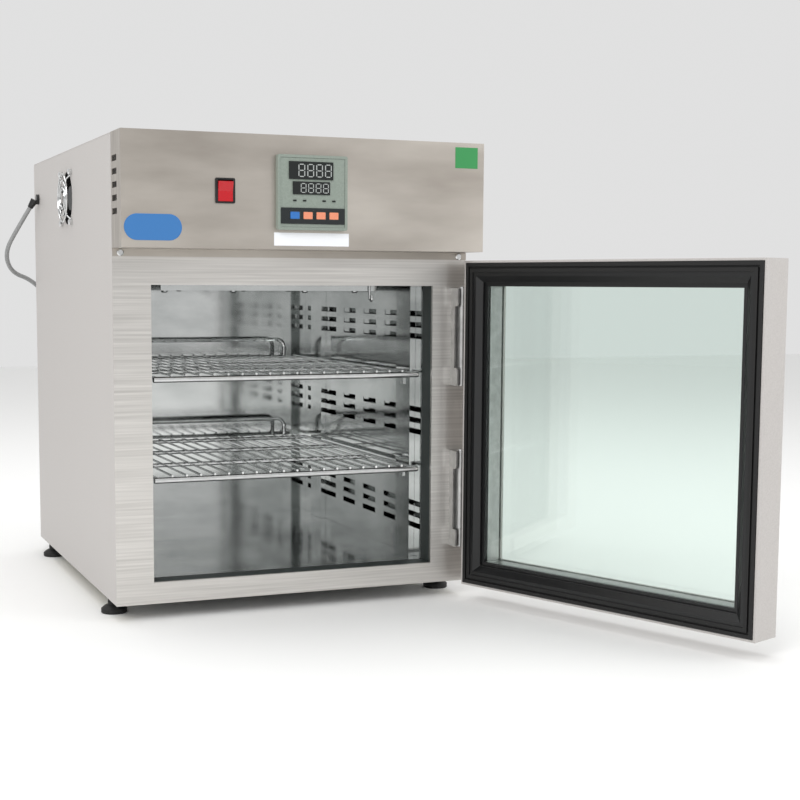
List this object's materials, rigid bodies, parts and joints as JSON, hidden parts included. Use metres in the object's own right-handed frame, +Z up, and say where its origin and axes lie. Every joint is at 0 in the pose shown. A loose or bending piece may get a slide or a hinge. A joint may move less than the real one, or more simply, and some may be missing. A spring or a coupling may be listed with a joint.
{
  "type": "laboratory incubator",
  "caption": "Bench-top laboratory incubator: stainless case, open glazed door, mirror-bright chamber with slotted ducts and wire shelves, header controls, side fan and mains lead.",
  "frame": {"origin": "on the bench surface, on the cabinet's centre line, in the plane of the front frame that the door closes against", "axes": "+X to the right seen from the front, +Y to the rear, +Z up"},
  "size_m": [0.7741, 1.1778, 0.634],
  "materials": {
    "bright_stainless": "bright annealed, almost mirror",
    "brushed_stainless": "fine brushed stainless sheet",
    "zinc_sheet": "zinc-plated sheet",
    "insulation_foam": "rigid foam",
    "breaker_plastic": "moulded, satin",
    "chrome": "bright plated",
    "hinge_steel": "satin plated",
    "motor_steel": "dark satin paint",
    "fan_aluminium": "pressed sheet",
    "fan_plastic": "moulded black",
    "black_plastic": "moulded black, satin",
    "red_plastic": "translucent red",
    "blue_plastic": "moulded blue",
    "orange_plastic": "moulded orange",
    "badge_plastic": "plain blue plate",
    "cord_pvc": "grey PVC sheath",
    "plug_plastic": "moulded grey PVC",
    "door_black_plastic": "moulded black, satin",
    "gasket_rubber": "soft black seal",
    "glass": "clear float glass",
    "spacer_aluminium": "mill finish",
    "foot_plastic": "moulded black"
  },
  "bodies": {
    "cabinet": {"badge_plate": "badge_plastic", "base_pan": "zinc_sheet", "breaker_frame": "breaker_plastic", "cabinet_screws": "chrome", "ceiling_tray": "bright_stainless", "chamber_liner": "bright_stainless", "circulation_motor": "motor_steel", "control_deck": "zinc_sheet", "controller_face": "black_plastic", "controller_housing": "black_plastic", "cooling_fan_frame": "fan_plastic", "cord_gland": "black_plastic", "duct_panel_left": "bright_stainless", "duct_panel_right": "bright_stainless", "fan_finger_guard": "chrome", "front_frame": "brushed_stainless", "header_fascia": "brushed_stainless", "header_strip": "brushed_stainless", "heater_elements": "chrome", "hinge_bracket_lower": "hinge_steel", "hinge_bracket_upper": "hinge_steel", "hinge_pin_lower": "chrome", "hinge_pin_upper": "chrome", "insulation": "insulation_foam", "mains_cord": "cord_pvc", "mains_cord_coil": "cord_pvc", "mains_plug": "plug_plastic", "rear_panel": "brushed_stainless", "shelf_clips": "chrome", "side_panel_left": "brushed_stainless", "side_panel_right": "brushed_stainless", "switch_housing": "black_plastic", "temperature_probe": "chrome", "top_cover": "brushed_stainless", "upright_front_left": "bright_stainless", "upright_front_right": "bright_stainless", "upright_rear_left": "bright_stainless", "upright_rear_right": "bright_stainless"},
    "door": {"door_frame": "brushed_stainless", "door_liner": "door_black_plastic", "door_gasket": "gasket_rubber", "glass_inner": "glass", "glass_outer": "glass", "glass_spacer": "spacer_aluminium", "door_handle": "chrome", "hinge_leaf_upper": "hinge_steel", "hinge_leaf_lower": "hinge_steel"},
    "power_rocker": {"switch_rocker": "red_plastic"},
    "key_set": {"key_set": "blue_plastic"},
    "key_shift": {"key_shift": "orange_plastic"},
    "key_down": {"key_down": "orange_plastic"},
    "key_up": {"key_up": "orange_plastic"},
    "shelf_upper": {"shelf_upper": "chrome"},
    "shelf_middle": {"shelf_middle": "chrome"},
    "cooling_fan": {"cooling_fan_rotor": "fan_plastic"},
    "circulation_fan": {"circulation_fan": "fan_aluminium"},
    "foot_front_left": {"foot_front_left": "foot_plastic"},
    "foot_front_right": {"foot_front_right": "foot_plastic"},
    "foot_rear_left": {"foot_rear_left": "foot_plastic"},
    "foot_rear_right": {"foot_rear_right": "foot_plastic"}
  },
  "joints": [
    {"name": "door_hinge", "type": "hinge", "parent": "cabinet", "child": "door", "pos_m": [0.2395, -0.014, 0.2565], "axis": [0, 0, 1], "range_deg": [-111.6, 8]},
    {"name": "power_switch", "type": "hinge", "parent": "cabinet", "child": "power_rocker", "pos_m": [-0.116, -0.0518, 0.561], "axis": [1, 0, 0], "range_deg": [-16, 0]},
    {"name": "shelf_upper_slide", "type": "slide", "parent": "cabinet", "child": "shelf_upper", "axis": [0, -1, 0], "range_m": [0, 0.25]},
    {"name": "shelf_middle_slide", "type": "slide", "parent": "cabinet", "child": "shelf_middle", "axis": [0, -1, 0], "range_m": [0, 0.25]},
    {"name": "cooling_fan_spin", "type": "hinge", "parent": "cabinet", "child": "cooling_fan", "pos_m": [-0.24, 0.298, 0.566], "axis": [1, 0, 0], "continuous": true},
    {"name": "circulation_fan_spin", "type": "hinge", "parent": "cabinet", "child": "circulation_fan", "pos_m": [0, 0.268, 0.46], "axis": [0, 0, 1], "continuous": true},
    {"name": "key_set_press", "type": "slide", "parent": "cabinet", "child": "key_set", "axis": [0, 1, 0], "range_m": [0, 0.0008], "stiffness_N_per_m": 300},
    {"name": "key_shift_press", "type": "slide", "parent": "cabinet", "child": "key_shift", "axis": [0, 1, 0], "range_m": [0, 0.0008], "stiffness_N_per_m": 300},
    {"name": "key_down_press", "type": "slide", "parent": "cabinet", "child": "key_down", "axis": [0, 1, 0], "range_m": [0, 0.0008], "stiffness_N_per_m": 300},
    {"name": "key_up_press", "type": "slide", "parent": "cabinet", "child": "key_up", "axis": [0, 1, 0], "range_m": [0, 0.0008], "stiffness_N_per_m": 300},
    {"name": "foot_front_left_turn", "type": "hinge", "parent": "cabinet", "child": "foot_front_left", "pos_m": [-0.239, 0.0675, 0], "axis": [0, 0, 1], "continuous": true},
    {"name": "foot_front_right_turn", "type": "hinge", "parent": "cabinet", "child": "foot_front_right", "pos_m": [0.239, 0.0675, 0], "axis": [0, 0, 1], "continuous": true},
    {"name": "foot_rear_left_turn", "type": "hinge", "parent": "cabinet", "child": "foot_rear_left", "pos_m": [-0.239, 0.515, 0], "axis": [0, 0, 1], "continuous": true},
    {"name": "foot_rear_right_turn", "type": "hinge", "parent": "cabinet", "child": "foot_rear_right", "pos_m": [0.239, 0.515, 0], "axis": [0, 0, 1], "continuous": true}
  ]
}
